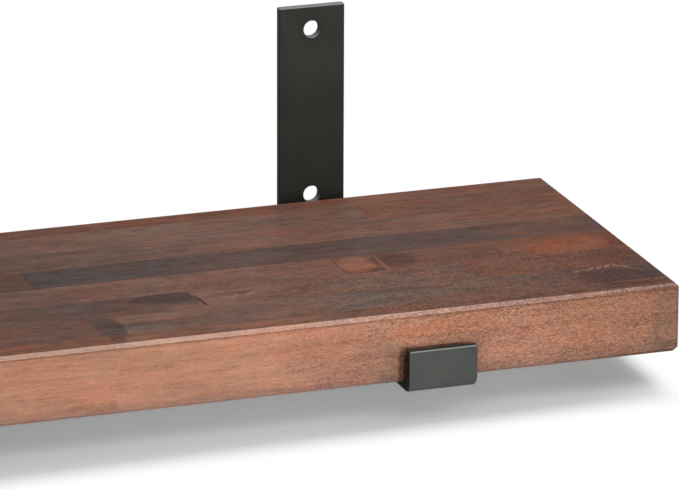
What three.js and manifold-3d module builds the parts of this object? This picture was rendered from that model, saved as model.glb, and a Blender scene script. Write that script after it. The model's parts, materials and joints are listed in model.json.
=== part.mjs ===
// Floating wall shelf: a board of edge-glued staves that rests in two J-shaped steel brackets.
// Millimetres, +Z up, +X along the board to the viewer's right, +Y towards the wall.
// The origin is on the wall plane, halfway along the board and level with its top.
import * as THREE from "three";
import { mergeVertices, toCreasedNormals } from "three/addons/utils/BufferGeometryUtils.js";
import Module from "manifold-3d";

const wasm = await Module();
wasm.setup();

// Board
const boardLength = 914;
const boardDepth = 203;
const boardThickness = 38;
const easedEdge = 2; // leg of the 45 degree chamfer on every outer edge
const staveWidth = 28.8; // a full stave, across the board
const frontRip = 14.2; // the front row, ripped when the glued slab was trimmed
const narrowestRip = 8; // least width left for the back row

// Brackets, each bent from one length of flat bar
const barWidth = 38;
const barThickness = 5;
const insideBendRadius = 2.5;
const barEndRound = 1; // rounding across the thickness, at the plate's top and the lip's top
const barSideRound = 0.8; // rounding along both sides
const boardClearance = 2.5; // board to plate, and board to lip
const plateRise = 111; // top of the wall plate above the board's top
const lipHeight = 24; // outside height of the lip, arm included
const bracketInset = 136.5; // middle of a bracket to the board's near end

// Wall-screw holes in the plate, for screws with flat-bottomed heads or washers
const wallHoleDiameter = 9.5;
const wallHoleEasing = 0.4; // leg of the small bevel round each hole's front rim
const upperHoleDrop = 13.2; // below the plate's top
const wallHoleSpacing = 95.3;

// Wood screws, driven up through the arm into the board
const screwLength = 30;
const shankDiameter = 4;
const headDiameter = 8;
const tipLength = 6;
const headRim = 0.4; // straight edge of the countersunk head
const recessSpan = 4.4; // across the cross recess
const recessWidth = 1.1;
const recessDepth = 1.8;
const screwFit = 0.3; // screw to bracket and screw to board
const pilotSpare = 2; // pilot hole past the screw's tip
const screwedRows = [3, 6]; // rows of staves, counted from the front, that take the screws

const cutOverrun = 1; // cutters run this far past the faces that they cut

// Facets
const bendSteps = 10;
const endRoundSteps = 4;
const sideRoundSteps = 3;
const holeSides = 40;
const screwSides = 24;
const creaseAngle = THREE.MathUtils.degToRad(35);

// Places worked out from the sizes above
const backFaceY = -(barThickness + boardClearance);
const frontFaceY = backFaceY - boardDepth;
const lipFrontY = frontFaceY - boardClearance - barThickness;
const undersideZ = -boardThickness;
const armBottomZ = undersideZ - barThickness;
const bracketX = boardLength / 2 - bracketInset;
const upperHoleZ = plateRise - upperHoleDrop;
const lowerHoleZ = upperHoleZ - wallHoleSpacing;

// Finishes
const staveColours = {
  dark: 0x5f453d,
  umber: 0x684b40,
  walnut: 0x7f5441,
  light: 0x88604f,
  russet: 0x855540,
  amber: 0x8d563c,
};
const steelCoat = new THREE.MeshStandardMaterial({ color: 0x363936, roughness: 0.55, metalness: 0.3 });
const screwBlack = new THREE.MeshStandardMaterial({ color: 0x1b1b1c, roughness: 0.4, metalness: 0.8 });

// The butt joints of each row, front row first, as shares of the board's length from its left end,
// and the tone of each stave between them.
const rows = [
  { jointShares: [0.215, 0.657], tones: ["russet", "walnut", "russet"] },
  { jointShares: [0.3, 0.6545, 0.928], tones: ["umber", "light", "walnut", "dark"] },
  { jointShares: [0.13, 0.42, 0.724, 0.893], tones: ["light", "walnut", "umber", "light", "walnut"] },
  { jointShares: [0.27, 0.53, 0.822, 0.923], tones: ["walnut", "umber", "light", "walnut", "amber"] },
  { jointShares: [0.1, 0.36, 0.642], tones: ["walnut", "light", "walnut", "dark"] },
  { jointShares: [0.22, 0.47, 0.719], tones: ["umber", "light", "walnut", "light"] },
  { jointShares: [0.17, 0.53, 0.871], tones: ["light", "walnut", "light", "russet"] },
  { jointShares: [0.24, 0.55, 0.825], tones: ["russet", "walnut", "russet", "russet"] },
];

// A closed three.js geometry as a solid that can be joined and cut.
function solidOf(geometry) {
  const bare = new THREE.BufferGeometry();
  bare.setAttribute("position", geometry.getAttribute("position"));
  bare.setIndex(geometry.index);
  const merged = mergeVertices(bare);
  const mesh = new wasm.Mesh({
    numProp: 3,
    vertProperties: merged.attributes.position.array,
    triVerts: new Uint32Array(merged.index.array),
  });
  return new wasm.Manifold(mesh);
}

// A solid as a named mesh, with edges sharper than the crease angle left sharp.
function meshOf(name, solid, material) {
  const { vertProperties, triVerts } = solid.getMesh();
  const geometry = new THREE.BufferGeometry();
  geometry.setAttribute("position", new THREE.BufferAttribute(new Float32Array(vertProperties), 3));
  geometry.setIndex(new THREE.BufferAttribute(new Uint32Array(triVerts), 1));
  const mesh = new THREE.Mesh(toCreasedNormals(geometry, creaseAngle), material);
  mesh.name = name;
  return mesh;
}

// A body of revolution about +Y, from a profile of [radius, height] pairs that rises along the axis.
function turned(profile, sides) {
  const points = profile.map(([radius, height]) => new THREE.Vector2(radius, height));
  return new THREE.LatheGeometry(points, sides);
}

// Turns what stands along +Y to stand along +Z.
function upright(geometry) {
  return geometry.rotateX(Math.PI / 2);
}

// The points of a quarter turn about a centre, from one angle to another, in degrees.
function quarterTurn(centreX, centreY, radius, from, to, steps) {
  const points = [];
  for (let step = 0; step <= steps; step += 1) {
    const angle = THREE.MathUtils.degToRad(from + ((to - from) * step) / steps);
    points.push(new THREE.Vector2(centreX + radius * Math.cos(angle), centreY + radius * Math.sin(angle)));
  }
  return points;
}

// The planed slab that all the staves make together, with every outer edge chamfered.
function slabSolid() {
  const halfLength = boardLength / 2;
  const plan = new THREE.Shape([
    new THREE.Vector2(-halfLength + easedEdge, frontFaceY),
    new THREE.Vector2(halfLength - easedEdge, frontFaceY),
    new THREE.Vector2(halfLength, frontFaceY + easedEdge),
    new THREE.Vector2(halfLength, backFaceY - easedEdge),
    new THREE.Vector2(halfLength - easedEdge, backFaceY),
    new THREE.Vector2(-halfLength + easedEdge, backFaceY),
    new THREE.Vector2(-halfLength, backFaceY - easedEdge),
    new THREE.Vector2(-halfLength, frontFaceY + easedEdge),
  ]);
  const slab = new THREE.ExtrudeGeometry(plan, {
    depth: boardThickness - 2 * easedEdge,
    bevelSegments: 1,
    bevelThickness: easedEdge,
    bevelSize: easedEdge,
    bevelOffset: -easedEdge,
  });
  slab.translate(0, 0, undersideZ + easedEdge);
  return solidOf(slab);
}

// The edges between the rows, from the front face to the back face.
function rowEdges() {
  const fullRows = Math.floor((boardDepth - frontRip - narrowestRip) / staveWidth);
  const edges = [frontFaceY];
  for (let row = 0; row <= fullRows; row += 1) {
    edges.push(frontFaceY + frontRip + row * staveWidth);
  }
  edges.push(backFaceY);
  return edges;
}

// The block of space between two places along the board and two across it, over its full thickness.
function cellSolid(left, right, front, back) {
  const cell = new THREE.BoxGeometry(right - left, back - front, boardThickness);
  cell.translate((left + right) / 2, (front + back) / 2, undersideZ + boardThickness / 2);
  return solidOf(cell);
}

// The places of the four wood screws: under the middle of the screwed rows, on each bracket's centreline.
function screwPlaces(edges) {
  const places = [];
  for (const [side, x] of [["left", -bracketX], ["right", bracketX]]) {
    for (const [end, row] of [["front", screwedRows[0]], ["rear", screwedRows[1]]]) {
      places.push({ name: `board_screw_${side}_${end}`, x, y: (edges[row - 1] + edges[row]) / 2 });
    }
  }
  return places;
}

// One pilot hole, drilled up into the board past the screw's tip.
function pilotSolid(place) {
  const radius = shankDiameter / 2 + screwFit;
  const top = armBottomZ + screwLength + pilotSpare;
  const cutter = upright(turned([
    [0, armBottomZ - cutOverrun],
    [radius, armBottomZ - cutOverrun],
    [radius, top - radius],
    [0, top],
  ], screwSides));
  cutter.translate(place.x, place.y, 0);
  return solidOf(cutter);
}

// The board: each stave is cut from the slab by its own cell, and drilled where a screw meets it.
function makeBoard(edges, places) {
  const board = new THREE.Group();
  const slab = slabSolid();
  const pilots = places.map(pilotSolid);
  for (let row = 0; row < edges.length - 1; row += 1) {
    const { jointShares, tones } = rows[row % rows.length];
    const cuts = [0, ...jointShares, 1].map((share) => (share - 1 / 2) * boardLength);
    for (let piece = 0; piece < tones.length; piece += 1) {
      const cell = cellSolid(cuts[piece], cuts[piece + 1], edges[row], edges[row + 1]);
      const stave = pilots.reduce((solid, pilot) => solid.subtract(pilot), slab.intersect(cell));
      const material = new THREE.MeshStandardMaterial({
        color: staveColours[tones[piece]],
        roughness: 0.5,
        metalness: 0,
      });
      board.add(meshOf(`stave_row${row + 1}_${piece + 1}`, stave, material));
    }
  }
  return board;
}

// The bracket's profile, seen along the board: plate, arm and lip with their two bends.
function bracketProfile() {
  const outsideBendRadius = insideBendRadius + barThickness;
  const lipBackY = lipFrontY + barThickness;
  const lipTopZ = armBottomZ + lipHeight;
  const plateFrontY = -barThickness;
  const insideZ = undersideZ + insideBendRadius;
  const outsideZ = armBottomZ + outsideBendRadius;
  const round = barEndRound;
  return new THREE.Shape([
    ...quarterTurn(-round, plateRise - round, round, 0, 90, endRoundSteps),
    ...quarterTurn(plateFrontY + round, plateRise - round, round, 90, 180, endRoundSteps),
    ...quarterTurn(plateFrontY - insideBendRadius, insideZ, insideBendRadius, 0, -90, bendSteps),
    ...quarterTurn(lipBackY + insideBendRadius, insideZ, insideBendRadius, -90, -180, bendSteps),
    ...quarterTurn(lipBackY - round, lipTopZ - round, round, 0, 90, endRoundSteps),
    ...quarterTurn(lipFrontY + round, lipTopZ - round, round, 90, 180, endRoundSteps),
    ...quarterTurn(lipFrontY + outsideBendRadius, outsideZ, outsideBendRadius, 180, 270, bendSteps),
    ...quarterTurn(-outsideBendRadius, outsideZ, outsideBendRadius, 270, 360, bendSteps),
  ]);
}

// The bar bent to that profile, with its long edges rounded. It is centred on X = 0.
function bentBarSolid() {
  const bar = new THREE.ExtrudeGeometry(bracketProfile(), {
    depth: barWidth - 2 * barSideRound,
    bevelSegments: sideRoundSteps,
    bevelThickness: barSideRound,
    bevelSize: barSideRound,
    bevelOffset: -barSideRound,
  });
  bar.translate(0, 0, barSideRound - barWidth / 2);
  const alongY = new THREE.Vector3(0, 1, 0);
  const alongZ = new THREE.Vector3(0, 0, 1);
  const alongX = new THREE.Vector3(1, 0, 0);
  bar.applyMatrix4(new THREE.Matrix4().makeBasis(alongY, alongZ, alongX));
  return solidOf(bar);
}

// A cutter for a hole through the bar, countersunk at 90 degrees below a straight rim.
// Its mouth is at the origin, facing -Y.
function countersunkCutter(holeRadius, mouthRadius, rim, sides) {
  return turned([
    [0, -cutOverrun],
    [mouthRadius, -cutOverrun],
    [mouthRadius, rim],
    [holeRadius, rim + mouthRadius - holeRadius],
    [holeRadius, barThickness + cutOverrun],
    [0, barThickness + cutOverrun],
  ], sides);
}

// One bracket, with its wall-screw holes and the arm's screw holes.
function makeBracket(name, x, places) {
  let bracket = bentBarSolid();
  for (const z of [upperHoleZ, lowerHoleZ]) {
    const holeRadius = wallHoleDiameter / 2;
    const cutter = countersunkCutter(holeRadius, holeRadius + wallHoleEasing, 0, holeSides);
    bracket = bracket.subtract(solidOf(cutter.translate(0, -barThickness, z)));
  }
  for (const place of places.filter((each) => each.x === x)) {
    const holeRadius = shankDiameter / 2 + screwFit;
    const mouthRadius = headDiameter / 2 + screwFit;
    const cutter = upright(countersunkCutter(holeRadius, mouthRadius, headRim, screwSides));
    bracket = bracket.subtract(solidOf(cutter.translate(0, place.y, armBottomZ)));
  }
  const mesh = meshOf(name, bracket, steelCoat);
  mesh.position.x = x;
  return mesh;
}

// A countersunk wood screw along +Z, with the face of its head at the origin and a cross recess in it.
function screwSolid() {
  const headRadius = headDiameter / 2;
  const shankRadius = shankDiameter / 2;
  const body = upright(turned([
    [0, 0],
    [headRadius, 0],
    [headRadius, headRim],
    [shankRadius, headRim + headRadius - shankRadius],
    [shankRadius, screwLength - tipLength],
    [0, screwLength],
  ], screwSides));
  let screw = solidOf(body);
  for (const [across, along] of [[recessSpan, recessWidth], [recessWidth, recessSpan]]) {
    const blade = new THREE.BoxGeometry(across, along, 2 * recessDepth);
    screw = screw.subtract(solidOf(blade));
  }
  return screw;
}

function makeShelf() {
  const shelf = new THREE.Group();
  const edges = rowEdges();
  const places = screwPlaces(edges);
  shelf.add(makeBoard(edges, places));
  shelf.add(makeBracket("bracket_left", -bracketX, places));
  shelf.add(makeBracket("bracket_right", bracketX, places));
  for (const place of places) {
    const screw = meshOf(place.name, screwSolid(), screwBlack);
    screw.position.set(place.x, place.y, armBottomZ);
    shelf.add(screw);
  }
  return shelf;
}

export default makeShelf();
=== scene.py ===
"""The looks of the floating wall shelf: stained wood staves, powder-coated brackets, studio and camera.

Lengths are in metres in the row's frame: +X along the board, +Y into the wall, +Z up, and the origin is
on the wall plane, halfway along the board and level with its top. Those of the wood are in millimetres.
"""

import json
import math

import bpy
from mathutils import Matrix, Vector


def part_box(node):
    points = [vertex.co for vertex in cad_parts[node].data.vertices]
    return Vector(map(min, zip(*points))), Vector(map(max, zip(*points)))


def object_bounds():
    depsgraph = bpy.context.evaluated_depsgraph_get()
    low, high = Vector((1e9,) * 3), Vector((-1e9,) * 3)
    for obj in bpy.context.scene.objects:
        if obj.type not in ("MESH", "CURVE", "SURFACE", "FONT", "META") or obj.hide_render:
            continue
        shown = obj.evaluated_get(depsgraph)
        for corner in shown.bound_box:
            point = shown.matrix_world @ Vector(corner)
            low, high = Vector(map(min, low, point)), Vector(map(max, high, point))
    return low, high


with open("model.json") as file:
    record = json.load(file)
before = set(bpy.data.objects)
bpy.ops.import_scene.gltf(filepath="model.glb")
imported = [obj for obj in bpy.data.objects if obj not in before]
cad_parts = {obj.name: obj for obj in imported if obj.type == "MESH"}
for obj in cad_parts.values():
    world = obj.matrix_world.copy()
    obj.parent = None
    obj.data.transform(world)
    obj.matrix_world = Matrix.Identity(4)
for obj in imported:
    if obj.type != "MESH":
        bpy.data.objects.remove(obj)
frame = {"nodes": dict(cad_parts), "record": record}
cad_low, cad_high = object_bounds()

MM = 0.001
MM_PER_METRE = 1000
WHITE = (1.0, 1.0, 1.0, 1.0)

# The board, from the frame
FRONT_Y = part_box("stave_row1_1")[0].y
LEFT_X = cad_low.x
RIGHT_X = cad_high.x


def linear(colour):
    """A linear RGBA colour from an sRGB one that is written as 0xRRGGBB."""
    channels = [((colour >> shift) & 0xFF) / 0xFF for shift in (16, 8, 0)]
    return [((c + 0.055) / 1.055) ** 2.4 if c > 0.04045 else c / 12.92 for c in channels] + [1.0]


class Graph:
    """Writes a node tree as calls. They take output sockets or plain values, and most return a socket."""

    def __init__(self, tree):
        self.tree = tree

    def put(self, node, inputs):
        """Links sockets to the node's inputs, and writes plain values into them."""
        for key, value in inputs.items():
            socket = node.inputs[key]
            if isinstance(value, bpy.types.NodeSocket):
                self.tree.links.new(value, socket)
            else:
                socket.default_value = value

    def node(self, kind, inputs=None, **settings):
        made = self.tree.nodes.new(kind)
        for name, value in settings.items():
            setattr(made, name, value)
        self.put(made, inputs or {})
        return made

    def math(self, operation, *values):
        return self.node("ShaderNodeMath", dict(enumerate(values)), operation=operation).outputs[0]

    def vector(self, operation, *values):
        made = self.node("ShaderNodeVectorMath", dict(enumerate(values)), operation=operation)
        return made.outputs["Value" if operation in ("LENGTH", "DOT_PRODUCT") else "Vector"]

    def combine(self, x, y, z):
        return self.node("ShaderNodeCombineXYZ", {0: x, 1: y, 2: z}).outputs[0]

    def split(self, vector):
        return self.node("ShaderNodeSeparateXYZ", {0: vector}).outputs[:3]

    def place(self):
        """The place on the object, which is the place in the row's frame."""
        return self.node("ShaderNodeTexCoord").outputs["Object"]

    def normal(self):
        """The way the surface faces."""
        return self.node("ShaderNodeNewGeometry").outputs["True Normal"]

    def ramp(self, value, low, high, start=0.0, end=1.0):
        """start below low, end above high, and a smooth step between them."""
        inputs = {"Value": value, "From Min": low, "From Max": high, "To Min": start, "To Max": end}
        return self.node("ShaderNodeMapRange", inputs, interpolation_type="SMOOTHSTEP").outputs[0]

    def fall(self, value, low, high):
        """1 below low, 0 above high, and a smooth step between them."""
        return self.ramp(value, low, high, 1.0, 0.0)

    def noise(self, place, size, detail=2.0, roughness=0.5, seed=0.0, output="Fac"):
        """Noise from 0 to 1 whose spots are about size = (x, y, z) long."""
        scaled = self.vector("DIVIDE", place, size)
        inputs = {"Vector": scaled, "W": seed, "Scale": 1.0, "Detail": detail, "Roughness": roughness}
        return self.node("ShaderNodeTexNoise", inputs, noise_dimensions="4D").outputs[output]

    def grains(self, place, size):
        """A value from 0 to 1 for each of the grains that fill space, about size = (x, y, z) long."""
        scaled = self.vector("DIVIDE", place, size)
        cells = self.node("ShaderNodeTexVoronoi", {"Vector": scaled, "Scale": 1.0})
        return self.split(cells.outputs["Color"])[0]

    def bump(self, height, strength, distance):
        inputs = {"Height": height, "Strength": strength, "Distance": distance}
        return self.node("ShaderNodeBump", inputs).outputs[0]

    def mix(self, share, a, b, blend="MIX"):
        made = self.node("ShaderNodeMix", {0: share, 6: a, 7: b}, data_type="RGBA", blend_type=blend)
        return made.outputs[2]

    def tint(self, colour, rgb, share=1.0):
        return self.mix(share, colour, [*rgb, 1.0], "MULTIPLY")


def surface(name):
    """A new material: its graph and its Principled shader."""
    material = bpy.data.materials.new(name)
    material.use_nodes = True
    graph = Graph(material.node_tree)
    shader = material.node_tree.nodes["Principled BSDF"]
    return material, graph, shader


# Wood: lengths in millimetres, and tints as factors on red, green and blue

# The stain on the faces of the staves, by the record's slots
TONES = {
    "wood_dark": 0x5F453D,
    "wood_umber": 0x684B40,
    "wood_walnut": 0x7F5441,
    "wood_light": 0x88604F,
    "wood_russet": 0x855540,
    "wood_amber": 0x8D563C,
}
# Staves that differ from the others of their slot: (brightness, warmth)
SHADES = {
    "stave_row1_2": (0.92, 0.17),
    "stave_row1_3": (1.02, -0.03),
    # stave_row2_2, stave_row5_3 and stave_row8_3 are darker partly as painted shade, where the light on the
    # top falls off to the left
    "stave_row2_2": (0.58, 0.11),
    "stave_row2_3": (1.15, -0.13),
    "stave_row2_4": (0.99, 0.19),
    "stave_row3_3": (0.99, 0.06),
    "stave_row3_4": (0.91, 0.01),
    "stave_row3_5": (0.98, 0.14),
    "stave_row4_3": (0.92, 0.03),
    "stave_row4_4": (0.88, 0.05),
    "stave_row4_5": (0.99, 0.08),
    "stave_row5_3": (0.47, 0.03),
    "stave_row5_4": (1.11, 0.03),
    "stave_row6_3": (0.83, -0.11),
    "stave_row6_4": (0.93, 0.05),
    "stave_row7_3": (0.92, -0.03),
    "stave_row7_4": (0.93, 0.02),
    "stave_row8_3": (0.80, 0.16),
}
AS_THE_SLOT = (1.0, 0.0)
GREEN_LOSS = 1 / 3  # how much a warm stave loses of its green, as a share of what it loses of its blue

# Where the stain lies differently
EDGE_TONE = 0xA4745D  # the narrow faces: the stain took less there, and they are painted paler as well for the strong light on the front
EASED_HIGHLIGHT_TONE = 0xBD9785  # painted highlight on the eased edges
END_SHADE = (0.62, 0.58, 0.55)  # end grain, which takes more stain
UNDER_RIM_SHADE = (0.72, 0.68, 0.66)  # a thin line on the front, below the eased edge
UNDER_RIM_Z = (-3.5, -2.6)
LOW_SHADE = (0.78, 0.85, 0.92)  # painted shade at the bottom of the narrow sides, which get less light
LOW_Z = (-36.0, -28.0)

# How strong the painted highlight on the eased edges is: less towards the right end, and there mostly on
# their upper part
HIGHLIGHT_X = (-132, -92)  # from the board's right end
HIGHLIGHT_SHARES = (0.9, 0.75)
LOWER_EASED_SHARE = 0.45  # the eased edges at the bottom, as a share of those at the top
THINNER_X = (-62, -17)  # from the board's right end
THINNER_SHARE = 0.8
LOWER_PART_Z = (-1.7, -0.7)

# How squarely a surface faces along an axis: where it starts to count and where it does wholly
FLAT = (0.80, 0.95)
NOT_EASED = (0.78, 0.90)
UPWARDS = (-0.3, 0.3)

# The growth rings, and how far the grain wanders from its line
RING_SPACING = 3.1
LATE_WOOD = (0.35, 0.92)  # where it sets in and where it is full, as shares of a ring
GRAIN_WANDER = 5.0
WANDER_SIZE = (260, 70, 70)
PITH_TURN = 2.4  # radians from one stave's pith to the next: the golden angle spreads them all round
PITH_NEAREST = 38
PITH_STEP = 17
PITH_SPREAD = 45
SEED_STEP = 5.3

# Noise in the grain: its size along, across and through the stave, its detail and its roughness
STREAKS = ((60, 4.2, 2.0), 3, 0.65)
DASHES = ((9, 2.6, 1.1), 2, 0.6)
PORES = ((6.5, 0.6, 0.42), 1, 0.5)
BLOTCHES = ((30, 13, 9), 2, 0.6)
DRIFT = ((95, 24, 24), 1, 0.5)
HUES = ((34, 12, 8), 2, 0.6)
HUE_SEED = 7.0
PORE_LEVELS = (0.60, 0.74)
HUE_LEVELS = (0.40, 0.60)
SPECK_SIZE = (1.0, 0.7, 0.36)

# What each pattern adds to the grain: its middle value, its weight on the faces and on the narrow sides
GRAIN_WEIGHTS = (
    ("late_wood", 0.35, -0.08, -0.03),
    ("streaks", 0.5, 1.05, 0.60),
    ("dashes", 0.5, 1.20, 0.62),
    ("specks", 0.5, 1.00, 0.85),
    ("blotches", 0.5, 0.70, 0.45),
    ("drift", 0.5, 0.50, 0.30),
    ("pores", 0.12, -0.20, -0.20),
)
MIDDLE_LEVEL = 0.5

# The specks are a stipple that is strongest at the front, towards the right
STIPPLE_X = (-277, -127)  # from the board's right end
STIPPLE_ACROSS = (60.5, 100.5)  # from the board's front face
STIPPLE_LEAST = 0.30
STIPPLE_MORE = 0.70

# Tints of the grain where it is darkest and palest, and where its hue is most red and most grey
DARK_GRAIN = (0.50, 0.53, 0.57)
PALE_GRAIN = (1.53, 1.54, 1.55)
REDDISH = (1.09, 0.97, 0.93)
GREYISH = (0.93, 1.02, 1.07)
HUE_LOSS = 0.6  # how much less the hue changes on the narrow sides
PAINTED_SHEEN = (0.030, 0.030, 0.030, 1.0)  # a painted sheen: a faint grey added on the wide faces, in place of most of their reflection

WOOD_ROUGHNESS = 0.58
PALE_SMOOTHER = 0.10  # how much less rough the palest grain is than the darkest
WOOD_SPECULAR = 0.02
STREAK_HEIGHT = 0.4
PORE_DEPTH = 0.6
WOOD_BUMP = 0.22
WOOD_RELIEF = 0.25


def from_right_end(places):
    """Places along the board in the row's frame, in millimetres."""
    return [RIGHT_X * MM_PER_METRE + place for place in places]


def from_front_face(places):
    """Places across the board in the row's frame, in millimetres."""
    return [FRONT_Y * MM_PER_METRE + place for place in places]


def growth_rings(g, swayed, pith):
    """The late wood of the growth rings round the pith, which lies along the stave."""
    from_pith = g.vector("MULTIPLY", g.vector("SUBTRACT", swayed, pith), (0, 1, 1))
    season = g.math("FRACT", g.math("DIVIDE", g.vector("LENGTH", from_pith), RING_SPACING))
    start, full = LATE_WOOD
    return g.math("MULTIPLY", g.ramp(season, start, full), g.fall(season, full, 1.0))


def grain_patterns(g, place, swayed, pith, seed):
    """The patterns that make up the grain, each from 0 to 1. Some of them sway with the grain."""
    return {
        "late_wood": growth_rings(g, swayed, pith),
        "streaks": g.noise(swayed, *STREAKS, seed),
        "dashes": g.noise(swayed, *DASHES, seed),
        "specks": g.grains(place, SPECK_SIZE),
        "blotches": g.noise(place, *BLOTCHES, seed),
        "drift": g.noise(place, *DRIFT, seed),
        "pores": g.ramp(g.noise(swayed, *PORES, seed), *PORE_LEVELS),
    }


def grain_level(g, patterns, narrow, x, y):
    """How pale the grain is, from 0 to 1."""
    at_right = g.ramp(x, *from_right_end(STIPPLE_X))
    at_front = g.fall(y, *from_front_face(STIPPLE_ACROSS))
    stipple = g.math("MULTIPLY_ADD", g.math("MULTIPLY", at_right, at_front), STIPPLE_MORE, STIPPLE_LEAST)
    level = MIDDLE_LEVEL
    for name, middle, weight, narrow_weight in GRAIN_WEIGHTS:
        share = g.ramp(narrow, 0.0, 1.0, weight, narrow_weight)
        if name == "specks":
            share = g.math("MULTIPLY", share, stipple)
        level = g.math("MULTIPLY_ADD", g.math("SUBTRACT", patterns[name], middle), share, level)
    return g.math("MAXIMUM", g.math("MINIMUM", level, 1.0), 0.0)


def eased_highlight_share(g, eased, face_up, x, z):
    """How strong the painted highlight is, which lies on the eased edges alone."""
    upper = g.ramp(face_up, *UPWARDS, LOWER_EASED_SHARE, 1.0)
    along = g.ramp(x, *from_right_end(HIGHLIGHT_X), *HIGHLIGHT_SHARES)
    lit_edge = g.math("MULTIPLY", g.math("MULTIPLY", eased, upper), along)
    thinner = g.ramp(x, *from_right_end(THINNER_X), 0.0, THINNER_SHARE)
    left_out = g.math("MULTIPLY", g.fall(z, *LOWER_PART_Z), thinner)
    return g.math("MULTIPLY", lit_edge, g.math("SUBTRACT", 1.0, left_out))


def grain_group():
    """The wood of one stave as a node group. It gives a colour, a roughness and a height."""
    tree = bpy.data.node_groups.new("stave_grain", "ShaderNodeTree")
    sockets = {
        "INPUT": {"Tone": "NodeSocketColor", "Pith": "NodeSocketVector", "Seed": "NodeSocketFloat"},
        "OUTPUT": {"Color": "NodeSocketColor", "Rough": "NodeSocketFloat", "Height": "NodeSocketFloat"},
    }
    for way, named in sockets.items():
        for name, kind in named.items():
            tree.interface.new_socket(name, in_out=way, socket_type=kind)
    g = Graph(tree)
    given = g.node("NodeGroupInput").outputs
    seed = given["Seed"]
    place = g.vector("MULTIPLY", g.place(), (MM_PER_METRE,) * 3)
    x, y, z = g.split(place)
    sway = g.noise(place, WANDER_SIZE, seed=seed, output="Color")
    swayed = g.vector("MULTIPLY_ADD", sway, (0, 2 * GRAIN_WANDER, 2 * GRAIN_WANDER), place)

    # Face grain, edge grain, end grain and the eased edges, told apart by the way the surface faces
    normal = g.normal()
    face_x, face_y, face_z = g.split(g.vector("ABSOLUTE", normal))
    edge = g.ramp(face_y, *FLAT)
    end = g.ramp(face_x, *FLAT)
    most = g.math("MAXIMUM", g.math("MAXIMUM", face_x, face_y), face_z)
    eased = g.fall(most, *NOT_EASED)
    narrow = g.math("MAXIMUM", edge, eased)
    wide = g.math("MULTIPLY", g.math("SUBTRACT", 1.0, narrow), g.math("SUBTRACT", 1.0, end))

    base = g.mix(edge, given["Tone"], linear(EDGE_TONE))
    # The eased edges get a painted highlight
    base = g.mix(eased_highlight_share(g, eased, g.split(normal)[2], x, z), base, linear(EASED_HIGHLIGHT_TONE))
    base = g.tint(base, END_SHADE, end)
    base = g.tint(base, UNDER_RIM_SHADE, g.math("MULTIPLY", g.ramp(z, *UNDER_RIM_Z), edge))
    base = g.tint(base, LOW_SHADE, g.math("MULTIPLY", narrow, g.fall(z, *LOW_Z)))

    # The grain runs from dark to pale, and its hue from grey to red
    patterns = grain_patterns(g, place, swayed, given["Pith"], seed)
    level = grain_level(g, patterns, narrow, x, y)
    colour = g.mix(level, g.tint(base, DARK_GRAIN), g.tint(base, PALE_GRAIN))
    warmth = g.ramp(g.noise(place, *HUES, g.math("ADD", seed, HUE_SEED)), *HUE_LEVELS)
    hue_share = g.math("MULTIPLY_ADD", narrow, -HUE_LOSS, 1.0)
    colour = g.mix(warmth, g.tint(colour, GREYISH, hue_share), g.tint(colour, REDDISH, hue_share))
    # The wide faces get a painted grey sheen
    colour = g.mix(wide, colour, PAINTED_SHEEN, "ADD")

    rough = g.math("MULTIPLY_ADD", level, -PALE_SMOOTHER, WOOD_ROUGHNESS)
    height = g.math("MULTIPLY_ADD", patterns["streaks"], STREAK_HEIGHT, patterns["dashes"])
    height = g.math("MULTIPLY_ADD", patterns["pores"], -PORE_DEPTH, height)
    g.node("NodeGroupOutput", {"Color": colour, "Rough": rough, "Height": height})
    return tree


class Figure:
    """A mark in the grain of one stave: an oval with a soft and ragged rim, on the top or on the front.

    x is from the board's right end. across is from the board's front face, and for a mark on the front it
    is down from the top. rim is how wide the rim is, as a share of the oval. slant is in degrees, from along
    the board towards the back.
    """

    def __init__(self, x, across, half_length, half_width, tint, strength=1.0, rim=0.6, slant=0, front=False):
        self.x = x
        self.across = across
        self.half_length = half_length
        self.half_width = half_width
        self.tint = tint
        self.strength = strength
        self.rim = rim
        self.slant = slant
        self.front = front


# The tints of the figures
BLACK = (0.28, 0.26, 0.26)
PAINTED_LIP_SHADOW = (0.38, 0.34, 0.34)  # painted shadow beside the lip, and on the wood seen through the gap behind it
DARK = (0.50, 0.50, 0.55)
INKY = (0.44, 0.50, 0.61)
SLATE = (0.70, 0.82, 0.86)
# painted shade, where the light on the front falls off towards the right end
FRONT_RIGHT_SHADE = (0.70, 0.80, 0.88)
GREY = (0.74, 0.86, 0.92)
DUSKY = (0.76, 0.76, 0.78)
TANNED = (0.92, 0.90, 0.92)
FADED = (0.82, 1.00, 1.14)
ASHEN = (0.98, 1.12, 1.22)
RUDDY = (1.06, 0.91, 0.82)
BLEACHED = (1.10, 1.08, 1.11)
WARM = (1.35, 1.10, 0.86)
LIGHT = (1.30, 1.26, 1.22)
SALMON = (1.60, 1.42, 1.25)
PALE = (1.9, 1.7, 1.6)
FLECK = (2.3, 2.0, 1.85)
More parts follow.
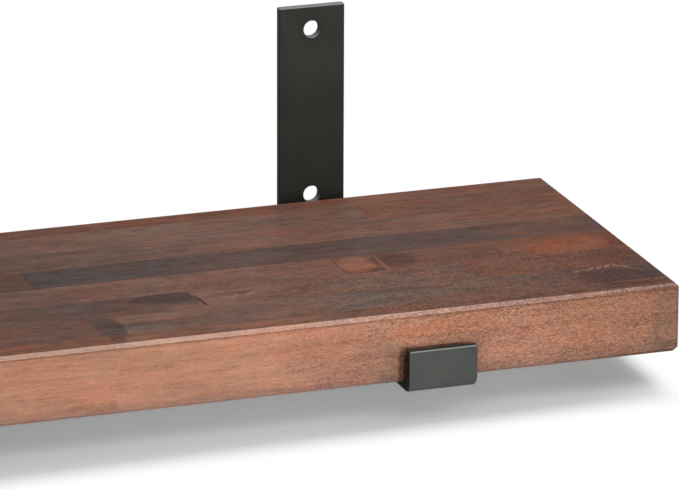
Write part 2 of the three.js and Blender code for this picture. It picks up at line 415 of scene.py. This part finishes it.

# The figures by stave
FIGURES = {
    "stave_row1_3": [
        Figure(-311, 10, 5, 8, DARK, 0.75),
        Figure(-220, 9, 34, 4.5, LIGHT),
        Figure(-58, 9, 62, 4.5, DUSKY, 0.9, 0.4),
        Figure(-18, 9, 26, 4.5, DUSKY, 1.0, 0.4),
        # painted shade: redder just above the lip
        Figure(-137, 11, 26, 4, RUDDY, 0.6, 0.9, front=True),
        # painted shadow beside the lip
        Figure(-156.5, 31, 3.0, 13, PAINTED_LIP_SHADOW, 1.0, 0.7, front=True),
        Figure(-154.3, 32, 2.4, 14, PAINTED_LIP_SHADOW, 1.0, 0.4, front=True),
        # painted shadow of the lip, spreading to its left
        Figure(-168, 26, 14, 12, GREY, 0.7, 0.9, front=True),
        Figure(-196, 18, 26, 20, TANNED, 1.0, 0.9, front=True),
        Figure(-86, 19, 20, 20, BLEACHED, 1.0, 0.9, front=True),
        # painted shade at the front's right end
        Figure(-2, 20, 15, 26, FRONT_RIGHT_SHADE, 0.7, 0.6, front=True),
    ],
    "stave_row2_3": [
        Figure(-310.5, 27, 9, 19, INKY, 0.9, 0.25),
        Figure(-287, 24, 17, 8, GREY, 0.9, 0.5),
        Figure(-250, 30, 24, 14, DUSKY, 0.6, 0.9),
        Figure(-168, 30, 30, 14, ASHEN, 0.9, 0.9),
        Figure(-80, 28, 25, 20, DUSKY, 0.6, 0.9),
    ],
    "stave_row2_4": [
        Figure(-26, 24, 24, 12, DARK, 0.55, 0.7, slant=-8),
        Figure(-62, 28, 15, 20, LIGHT, 1.0, 0.9),
        Figure(-45, 37.0, 3.0, 1.4, FLECK, 0.9, 0.4, slant=50),
        Figure(-40, 37.5, 3.0, 1.4, FLECK, 0.7, 0.4, slant=-50),
        Figure(-36, 39.0, 3.2, 1.4, FLECK, 0.9, 0.4, slant=55),
        Figure(-31, 39.5, 3.0, 1.4, FLECK, 0.9, 0.4, slant=45),
        Figure(-26, 40.5, 3.2, 1.4, FLECK, 0.9, 0.4, slant=55),
        Figure(-21, 40.0, 3.2, 1.4, FLECK, 0.8, 0.4, slant=-55),
        Figure(-16, 36.0, 3.6, 1.5, FLECK, 0.8, 0.4, slant=-60),
        Figure(-12, 31.0, 3.2, 1.4, FLECK, 0.6, 0.4, slant=-60),
    ],
    "stave_row3_3": [
        Figure(-268, 64, 18, 9, INKY, 0.75, 0.3),
        Figure(-298, 61, 16, 9, DARK, 0.35, 0.6),
        Figure(-345, 60, 40, 10, GREY, 0.45, 0.5),
        Figure(-261, 47, 11, 5, SALMON, 0.8, 0.4),
    ],
    "stave_row3_4": [
        Figure(-250.4, 55, 9.5, 1.2, BLACK, 0.9, 0.3, slant=97),
        Figure(-233, 61, 14, 3, DARK, 0.5),
        Figure(-231, 56, 5, 1.0, PALE, 0.5, 0.3, slant=50),
        Figure(-222, 58, 5, 1.0, PALE, 0.4, 0.3, slant=40),
    ],
    "stave_row3_5": [
        Figure(-92, 57, 20, 20, GREY, 0.3, 0.9),
        Figure(-14, 57, 18, 16, DUSKY, 0.9, 0.9),
    ],
    "stave_row4_3": [
        Figure(-354, 85, 60, 20, DUSKY, 1.0, 0.9),
    ],
    "stave_row4_4": [
        Figure(-152, 86, 10, 13, SALMON, 0.8, 0.25),
        Figure(-131, 88, 13, 12, DARK, 0.6, 0.4),
        Figure(-144.5, 75, 6, 4, DARK, 0.4, 0.4),
        Figure(-138.7, 84, 13, 1.1, PALE, 1.0, 0.3, slant=90),
    ],
    "stave_row4_5": [
        Figure(-40, 82, 20, 12, WARM, 0.45, 0.8),
        Figure(-69, 86, 15, 18, FADED, 1.0, 0.7),
        Figure(-3, 84, 8, 16, DARK, 0.5, 0.8),
    ],
    "stave_row5_4": [
        Figure(-298, 115, 62, 30, SLATE, 1.0, 0.5),
        Figure(-34, 117, 30, 16, WARM, 0.6, 0.9),
    ],
    "stave_row6_3": [
        Figure(-362, 144, 40, 20, DUSKY, 0.5, 0.9),
    ],
    "stave_row6_4": [
        Figure(-246, 144, 40, 20, GREY, 0.8, 0.9),
        Figure(-26, 146, 44, 16, RUDDY, 0.9, 0.9),
    ],
    "stave_row7_3": [
        Figure(-320, 172, 60, 18, DUSKY, 0.6, 0.9),
    ],
    "stave_row8_3": [
        Figure(-345, 188, 120, 5, GREY, 0.8, 0.9),
    ],
}
RAGGED_RIM = ((14 * MM, 3 * MM, 3 * MM), 2, 0.6)  # noise: its size in metres, its detail and its roughness
FRONT_DEPTH = (1, 3)  # how deep a mark on the front is full, and where it has faded out

# The butt joints show as hair lines
CRISP_JOINTS = ("stave_row4_4", "stave_row5_4")  # the staves whose left joint is plain to see
CRISP_JOINT = 0.85
FAINT_JOINT = 0.15
JOINT_TINT = (0.25, 0.25, 0.28)
JOINT_FADE = 0.7  # how far into the stave the line fades out
ON_TOP = (0.8, 0.9)


def inside_figure(g, place, figure, seed):
    """The figure's strength inside its oval, and 0 outside."""
    turn = math.radians(figure.slant)
    lengthwise = Vector((math.cos(turn), math.sin(turn), 0))
    sideways = Vector((-math.sin(turn), math.cos(turn), 0))
    middle = Vector((RIGHT_X + figure.x * MM, FRONT_Y + figure.across * MM, 0))
    if figure.front:
        middle = Vector((middle.x, 0, -figure.across * MM))
        lengthwise, sideways = lengthwise.xzy, sideways.xzy
    off = g.vector("SUBTRACT", place, middle)
    along = g.math("DIVIDE", g.vector("DOT_PRODUCT", off, lengthwise), figure.half_length * MM)
    across = g.math("DIVIDE", g.vector("DOT_PRODUCT", off, sideways), figure.half_width * MM)
    from_middle = g.vector("LENGTH", g.combine(along, across, 0.0))
    reach = g.math("MULTIPLY_ADD", g.noise(place, *RAGGED_RIM, seed), figure.rim, from_middle)
    inside = g.ramp(reach, 1.0, 1.0 + figure.rim, figure.strength, 0.0)
    if figure.front:
        full, gone = (FRONT_Y + depth * MM for depth in FRONT_DEPTH)
        inside = g.math("MULTIPLY", inside, g.fall(g.split(place)[1], full, gone))
    return inside


def add_figures(g, colour, figures):
    """The stave's colour with its figures in it."""
    place = g.place()
    for seed, figure in enumerate(figures):
        colour = g.tint(colour, figure.tint, inside_figure(g, place, figure, seed))
    return colour


def joint_lines(g, colour, node):
    """The stave's colour, darker in a hair line at each butt joint."""
    low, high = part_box(node)
    x = g.split(g.place())[0]
    on_top = g.ramp(g.split(g.normal())[2], *ON_TOP)
    fade = JOINT_FADE * MM
    lines = []
    if low.x > LEFT_X + MM:
        strength = CRISP_JOINT if node in CRISP_JOINTS else FAINT_JOINT
        lines.append(g.ramp(x, low.x, low.x + fade, strength, 0.0))
    if high.x < RIGHT_X - MM:
        lines.append(g.ramp(x, high.x - fade, high.x, 0.0, FAINT_JOINT))
    for line in lines:
        colour = g.tint(colour, JOINT_TINT, g.math("MULTIPLY", line, on_top))
    return colour


def stave_tone(node, slot):
    """The stain on one stave. A warm one has more red and less blue than its slot."""
    red, green, blue, alpha = linear(TONES[slot])
    brightness, warmth = SHADES.get(node, AS_THE_SLOT)
    warmed = ((1 + warmth) * red, (1 - GREEN_LOSS * warmth) * green, (1 - warmth) * blue)
    return [brightness * channel for channel in warmed] + [alpha]


def pith_place(node, index):
    """The pith of one stave: outside it, and in another direction for each stave."""
    low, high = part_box(node)
    middle = (low + high) / 2 * MM_PER_METRE
    turn = index * PITH_TURN
    reach = PITH_NEAREST + (index * PITH_STEP) % PITH_SPREAD
    return (0, middle.y + reach * math.cos(turn), middle.z + reach * math.sin(turn))


def stave_material(node, slot, group, index):
    """The finish of one stave, with a piece of wood of its own."""
    material, g, shader = surface("wood_" + node)
    own = {"Tone": stave_tone(node, slot), "Pith": pith_place(node, index), "Seed": index * SEED_STEP}
    wood = g.node("ShaderNodeGroup", own, node_tree=group).outputs
    colour = add_figures(g, wood["Color"], FIGURES.get(node, []))
    g.put(shader, {
        "Base Color": joint_lines(g, colour, node),
        "Roughness": wood["Rough"],
        "Normal": g.bump(wood["Height"], WOOD_BUMP, WOOD_RELIEF * MM),
        "Specular IOR Level": WOOD_SPECULAR,
    })
    return material


# Steel

COAT_TONE = 0x383936
LIT_LIP_TONE = 0x474A47  # painted light: the lip is paler than the plate, as it is lit more
COAT_HIGHLIGHT_TONE = 0x8A8A88  # painted highlights: in the holes, on their lower walls that face up into the light, and on the rims
COAT_HIGHLIGHT_METALLIC = 0.5
COAT_ROUGHNESS = (0.46, 0.58)
COAT_SPECULAR = 0.03
PEEL_SIZE = 0.9 * MM
PEEL_LEVELS = (0.2, 0.8)
PEEL_BUMP = 0.35
PEEL_RELIEF = 0.06 * MM
CLOUD_SIZE = 18 * MM
CLOUD_LEVELS = (0.3, 0.7)
CLOUD_TINT = (1.15, 1.15, 1.12)

# Where the coat is painted darker, as shade
PLATE_SHADE_TINT = (0.83, 0.83, 0.80)
LOW_PLATE_Z = (52 * MM, 78 * MM)
LIP_TOP_SHADE = (0.55, 0.55, 0.55)
LIP_Y = (cad_low.y + 1 * MM, FRONT_Y)  # where the lip ends and the rest of the bracket begins
LEFT_SIDE_SHADE = (0.35, 0.35, 0.35)
NEAR_FRONT_Y = (FRONT_Y, FRONT_Y + 60 * MM)

# Where the painted highlights lie
HOLE_REACH = (6 * MM, 7 * MM)  # from the middle of a wall hole
PLATE_TOP_Z = (cad_high.z - 3 * MM, cad_high.z - 2 * MM)
LIP_RIM_Y = (cad_low.y + 0.5 * MM, cad_low.y + 0.8 * MM)
LEFT_RIM_SHARE = 0.25

# Parts of the normal along an axis: each pair is where a smooth step begins and where it ends
OUT_OF_WALL = (0.85, 0.95)
HOLE_UPWARDS = (0.0, 1.0)
RIM_UPWARDS = (0.40, 0.60)
RIM_LEFTWARDS = (-0.5, -0.3)
LEVEL = (0.9, 0.98)
LEFTWARDS = (-0.98, -0.9)

SCREW_TONE = 0x1B1B1C
RUBBED_TONE = 0x3A3836
RUBS = ((1.6 * MM,) * 3, 3, 0.6)  # noise: its size, its detail and its roughness
RUBBED_LEVELS = (0.5, 0.75)
SMOOTH_LEVELS = (0.3, 0.7)
OXIDE_ROUGHNESS = (0.32, 0.46)
OXIDE_METALLIC = 0.7

WELD_DISTANCE = 0.005 * MM
SHARP_ANGLE = math.radians(35)


def in_wall_holes(g, place, normal):
    """1 at the bottom of the wall screws' holes, less up their sides, and 0 elsewhere."""
    slope = g.split(g.vector("ABSOLUTE", normal))[1]
    near = 0.0
    for opening in frame["record"]["physics"]["openings"]:
        if "hole" in opening["name"]:
            low, high = (Vector(corner) for corner in opening["box_m"])
            off = g.vector("MULTIPLY", g.vector("SUBTRACT", place, (low + high) / 2), (1, 0, 1))
            near = g.math("MAXIMUM", near, g.fall(g.vector("LENGTH", off), *HOLE_REACH))
    inner = g.math("MULTIPLY", g.fall(slope, *OUT_OF_WALL), g.ramp(g.split(normal)[2], *HOLE_UPWARDS))
    return g.math("MULTIPLY", near, inner)


def on_upper_rims(g, place, normal):
    """1 on the plate's top end and the lip's upper rim, less on the lip's left rim, and 0 elsewhere."""
    face_x, _, face_z = g.split(normal)
    _, y, z = g.split(place)
    lip_rim = g.fall(y, *LIP_RIM_Y)
    either = g.math("MAXIMUM", g.ramp(z, *PLATE_TOP_Z), lip_rim)
    upper = g.math("MULTIPLY", g.ramp(face_z, *RIM_UPWARDS), either)
    left = g.math("MULTIPLY", g.ramp(face_x, *RIM_LEFTWARDS, LEFT_RIM_SHARE, 0.0), lip_rim)
    return g.math("MAXIMUM", upper, left)


def coat_material():
    """Powder coat: dark grey, satin, with a fine orange-peel surface."""
    material, g, shader = surface("powder_coat")
    place = g.place()
    normal = g.normal()
    _, y, z = g.split(place)
    face_x, _, face_z = g.split(normal)
    # The lip is painted paler than the plate, for the light that falls on it more
    on_lip = g.fall(y, *LIP_Y)
    colour = g.mix(on_lip, linear(COAT_TONE), linear(LIT_LIP_TONE))
    colour = g.tint(colour, CLOUD_TINT, g.ramp(g.noise(place, (CLOUD_SIZE,) * 3), *CLOUD_LEVELS))

    # Painted shade: darker on the plate near the board, on the lip's top and on the left sides of the lip
    # and of the arm's front
    low_on_plate = g.math("MULTIPLY", g.fall(z, *LOW_PLATE_Z), g.math("SUBTRACT", 1.0, on_lip))
    lip_top = g.math("MULTIPLY", g.ramp(face_z, *LEVEL), on_lip)
    left_side = g.math("MULTIPLY", g.fall(face_x, *LEFTWARDS), g.fall(y, *NEAR_FRONT_Y))
    colour = g.tint(colour, PLATE_SHADE_TINT, low_on_plate)
    colour = g.tint(colour, LIP_TOP_SHADE, lip_top)
    colour = g.tint(colour, LEFT_SIDE_SHADE, left_side)

    # Painted highlights: a paler, half-metallic coat in the wall holes and on the upper rims
    coat_highlight = g.math("MAXIMUM", in_wall_holes(g, place, normal), on_upper_rims(g, place, normal))
    peel = g.noise(place, (PEEL_SIZE,) * 3)
    g.put(shader, {
        "Base Color": g.mix(coat_highlight, colour, linear(COAT_HIGHLIGHT_TONE)),
        "Metallic": g.math("MULTIPLY", coat_highlight, COAT_HIGHLIGHT_METALLIC),
        "Roughness": g.ramp(peel, *PEEL_LEVELS, *COAT_ROUGHNESS),
        "Normal": g.bump(peel, PEEL_BUMP, PEEL_RELIEF),
        "Specular IOR Level": COAT_SPECULAR,
    })
    return material


def screw_material():
    """Black oxide on steel, a little rubbed."""
    material, g, shader = surface("black_oxide")
    rub = g.noise(g.place(), *RUBS)
    g.put(shader, {
        "Base Color": g.mix(g.ramp(rub, *RUBBED_LEVELS), linear(SCREW_TONE), linear(RUBBED_TONE)),
        "Roughness": g.ramp(rub, *SMOOTH_LEVELS, *OXIDE_ROUGHNESS),
        "Metallic": OXIDE_METALLIC,
    })
    return material


def dress(obj, material):
    obj.data.materials.clear()
    obj.data.materials.append(material)


def smooth_bends(obj):
    """Rounded bends and edges look round: facets that meet at a small angle are shaded as one surface."""
    weld = obj.modifiers.new("weld", "WELD")
    weld.merge_threshold = WELD_DISTANCE
    split = obj.modifiers.new("sharp_edges", "EDGE_SPLIT")
    split.split_angle = SHARP_ANGLE
    obj.modifiers.new("even_normals", "WEIGHTED_NORMAL")


def dress_part():
    slots = {each["node"]: each["material_slot"] for each in frame["record"]["subparts"]}
    group = grain_group()
    coat = coat_material()
    oxide = screw_material()
    for index, node in enumerate(sorted(frame["nodes"])):
        obj = frame["nodes"][node]
        if node.startswith("stave"):
            dress(obj, stave_material(node, slots[node], group, index))
        else:
            dress(obj, coat if node.startswith("bracket") else oxide)
            smooth_bends(obj)


# Studio

CAMERA_PLACE = Vector((-0.690518, -2.926117, 0.973452))
CAMERA_AZIMUTH = math.radians(19.379)
CAMERA_ELEVATION = math.radians(17.937)
CAMERA_ROLL = math.radians(0.202)
CAMERA_LENS = 308.95
SENSOR_WIDTH = 36.0
NEAREST_SEEN = 0.05
FARTHEST_SEEN = 200.0

AMBIENT = 0.19  # the light from all round
AMBIENT_LEAN = 0.9  # the share by which it is stronger from the right and weaker from the left

FLOOR_DROP = 0.030  # from the lowest point of the part
FLOOR_SIZE = 80.0
FLOOR_TONE = (0.80, 0.80, 0.80, 1.0)  # for the light that it sends back to the part

# What the camera sees of the floor is tinted to meet the photo's shadow
FLOOR_SEEN = (1.85, 1.94, 1.97, 1.0)
FLOOR_UNDER = (1.88, 2.19, 2.28, 1.0)  # under the board, against the brown light off it
UNDER_FRONT = (-0.178, -0.147)
UNDER_BACK = (-0.02, 0.0)
END_TINT = (0.507, 0.478, 0.460)  # under the board's ends, where more light falls
END_SIDE = (0.38, 0.45)
OUTER_TINT = (1.09, 1.09, 1.09)  # at the front of the shadow, near its ends
OUTER_SIDE = (0.26, 0.42)
OUTER_FRONT = (-0.155, -0.140)
RIM_TINT = (1.09, 1.09, 1.09)  # at the front rim of the shadow
RIM_FRONT = (-0.192, -0.180)

# The shadow ends between these places: each pair is where the floor is white and where the shadow is full
SHADE_FRONT = (-0.2190, -0.1810)
SHADE_BACK = (0.08, 0.02)
SHADE_SIDE = (0.476, 0.453)
FRONT_SKEW = -0.036  # how far the front of the shadow turns, for each metre along the board
FLOOR_GLOW = 0.2  # how white the floor stays in shadow

# The soft lights: the name, the place, what it faces, the width, the height and the power in watts
SOFTBOXES = (
    ("front_softbox", (0.18, -0.45, -0.026), (0.18, -0.21, -0.026), 0.32, 0.04, 0.38),
    ("right_softbox", (2.10, -1.15, -0.03), (0.10, -0.21, -0.03), 0.70, 0.07, 22),
    ("top_softbox", (0.12, -0.16, 0.90), (0.12, -0.12, 0.0), 0.8, 0.22, 3.35),
    ("high_softbox", (0.12, -1.22, 0.65), (0.15, -0.12, 0.0), 0.7, 0.20, 2.3),
)


def add_camera():
    data = bpy.data.cameras.new("camera")
    data.lens = CAMERA_LENS
    data.sensor_width = SENSOR_WIDTH
    data.clip_start = NEAREST_SEEN
    data.clip_end = FARTHEST_SEEN
    camera = bpy.data.objects.new("camera", data)
    ahead = Vector((
        math.sin(CAMERA_AZIMUTH) * math.cos(CAMERA_ELEVATION),
        math.cos(CAMERA_AZIMUTH) * math.cos(CAMERA_ELEVATION),
        -math.sin(CAMERA_ELEVATION),
    ))
    level = Vector((math.cos(CAMERA_AZIMUTH), -math.sin(CAMERA_AZIMUTH), 0))
    above = level.cross(ahead)
    right = math.cos(CAMERA_ROLL) * level + math.sin(CAMERA_ROLL) * above
    up = math.cos(CAMERA_ROLL) * above - math.sin(CAMERA_ROLL) * level
    axes = Matrix((right, up, -ahead)).transposed()
    camera.matrix_world = Matrix.Translation(CAMERA_PLACE) @ axes.to_4x4()
    bpy.context.scene.collection.objects.link(camera)
    bpy.context.scene.camera = camera


def seen_directly(g):
    """1 for the camera, for reflections and through glass, and 0 for the light that falls on things."""
    path = g.node("ShaderNodeLightPath").outputs
    either = g.math("MAXIMUM", path["Is Camera Ray"], path["Is Glossy Ray"])
    return g.math("MAXIMUM", either, path["Is Transmission Ray"])


def add_world():
    """White where it is seen directly, and a weak light that comes more from the right."""
    world = bpy.data.worlds.new("studio")
    world.use_nodes = True
    g = Graph(world.node_tree)
    direction = g.node("ShaderNodeTexCoord").outputs["Generated"]
    ambient = g.math("MULTIPLY_ADD", g.split(direction)[0], AMBIENT_LEAN * AMBIENT, AMBIENT)
    strength = g.math("MAXIMUM", seen_directly(g), ambient)
    g.put(world.node_tree.nodes["Background"], {"Color": WHITE, "Strength": strength})
    bpy.context.scene.world = world


def floor_seen(g, side, y, front):
    """The colour of the floor's paint to the camera."""
    under = g.tint(FLOOR_UNDER, END_TINT, g.ramp(side, *END_SIDE))
    beneath = g.math("MULTIPLY", g.ramp(y, *UNDER_FRONT), g.fall(y, *UNDER_BACK))
    outer = g.math("MULTIPLY", g.ramp(side, *OUTER_SIDE), g.fall(y, *OUTER_FRONT))
    tone = g.mix(beneath, FLOOR_SEEN, under)
    tone = g.tint(tone, OUTER_TINT, outer)
    return g.tint(tone, RIM_TINT, g.fall(front, *RIM_FRONT))


def floor_white(g, side, y, front):
    """How far the floor is plain white: 1 past the places where its shadow ends."""
    white = FLOOR_GLOW
    for value, (light, dark) in ((front, SHADE_FRONT), (y, SHADE_BACK), (side, SHADE_SIDE)):
        past = g.fall(value, light, dark) if light < dark else g.ramp(value, dark, light)
        white = g.math("MAXIMUM", white, past)
    return white


def floor_material():
    """A pale floor with a shadow. It is see-through from below, for views of the underside."""
    material, g, unused = surface("pale_floor")
    g.tree.nodes.remove(unused)
    x, y, _ = g.split(g.place())
    side = g.math("ABSOLUTE", x)
    front = g.math("MULTIPLY_ADD", x, FRONT_SKEW, y)
    seen = seen_directly(g)
    tone = g.mix(seen, FLOOR_TONE, floor_seen(g, side, y, front))
    white = g.math("MULTIPLY", seen, floor_white(g, side, y, front))
    paint = g.node("ShaderNodeBsdfDiffuse", {"Color": tone}).outputs[0]
    glow = g.node("ShaderNodeEmission").outputs[0]
    above = g.node("ShaderNodeMixShader", {0: white, 1: paint, 2: glow}).outputs[0]
    clear = g.node("ShaderNodeBsdfTransparent").outputs[0]
    from_below = g.node("ShaderNodeNewGeometry").outputs["Backfacing"]
    shown = g.node("ShaderNodeMixShader", {0: from_below, 1: above, 2: clear}).outputs[0]
    g.put(g.tree.nodes["Material Output"], {"Surface": shown})
    return material


def add_floor():
    height = cad_low.z - FLOOR_DROP
    half = FLOOR_SIZE / 2
    mesh = bpy.data.meshes.new("floor")
    corners = [(-half, -half, height), (half, -half, height), (half, half, height), (-half, half, height)]
    mesh.from_pydata(corners, [], [(0, 1, 2, 3)])
    floor = bpy.data.objects.new("floor", mesh)
    bpy.context.scene.collection.objects.link(floor)
    dress(floor, floor_material())


def add_softbox(name, place, target, width, height, power):
    """A soft light at a place, turned towards a target. The camera doesn't see it."""
    data = bpy.data.lights.new(name, "AREA")
    data.shape = "RECTANGLE"
    data.size = width
    data.size_y = height
    data.energy = power
    lamp = bpy.data.objects.new(name, data)
    lamp.location = place
    lamp.rotation_mode = "QUATERNION"
    lamp.rotation_quaternion = (Vector(target) - Vector(place)).to_track_quat("-Z", "Y")
    lamp.visible_camera = False
    bpy.context.scene.collection.objects.link(lamp)


def add_studio():
    add_camera()
    add_world()
    add_floor()
    for softbox in SOFTBOXES:
        add_softbox(*softbox)
    bpy.context.scene.view_settings.view_transform = "Standard"


add_studio()
dress_part()
